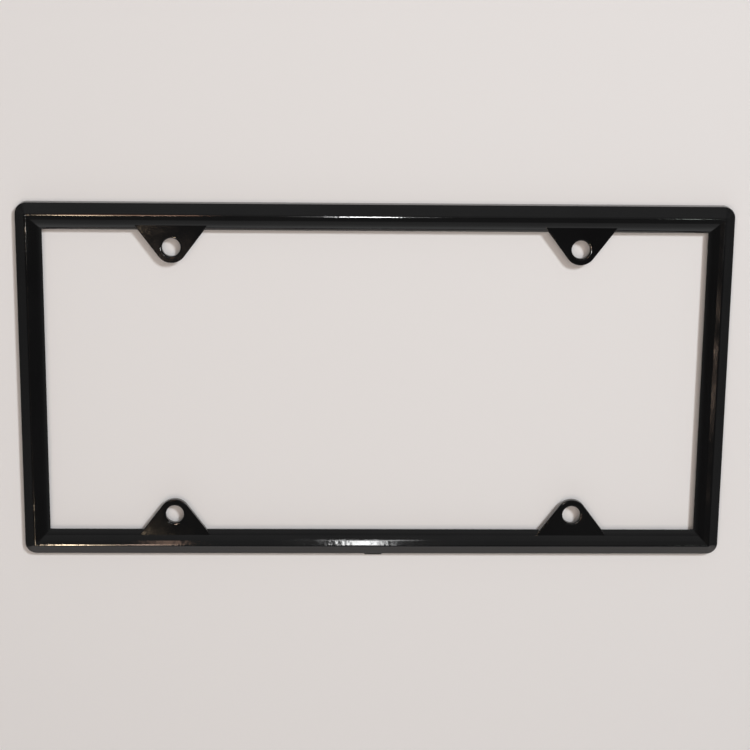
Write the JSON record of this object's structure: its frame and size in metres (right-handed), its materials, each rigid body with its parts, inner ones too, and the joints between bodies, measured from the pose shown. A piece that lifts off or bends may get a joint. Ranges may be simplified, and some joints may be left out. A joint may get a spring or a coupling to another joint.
{
  "type": "number plate holder",
  "caption": "Rectangular car number plate holder moulded in one piece, with a ridged hollow rail, a recess for the plate behind it and pointed screw tabs reaching into the window.",
  "frame": {"origin": "middle of the rim's outline, on the plane of the rim's foot, which is the back of the holder", "axes": "+X along the plate's length, +Y towards the plate's top edge, +Z out of the visible face"},
  "size_m": [0.3124, 0.1598, 0.0073],
  "materials": {
    "moulded_plastic": "glossy, with a faint moulded ripple"
  },
  "bodies": {
    "root": {"plate_frame": "moulded_plastic"}
  },
  "joints": []
}
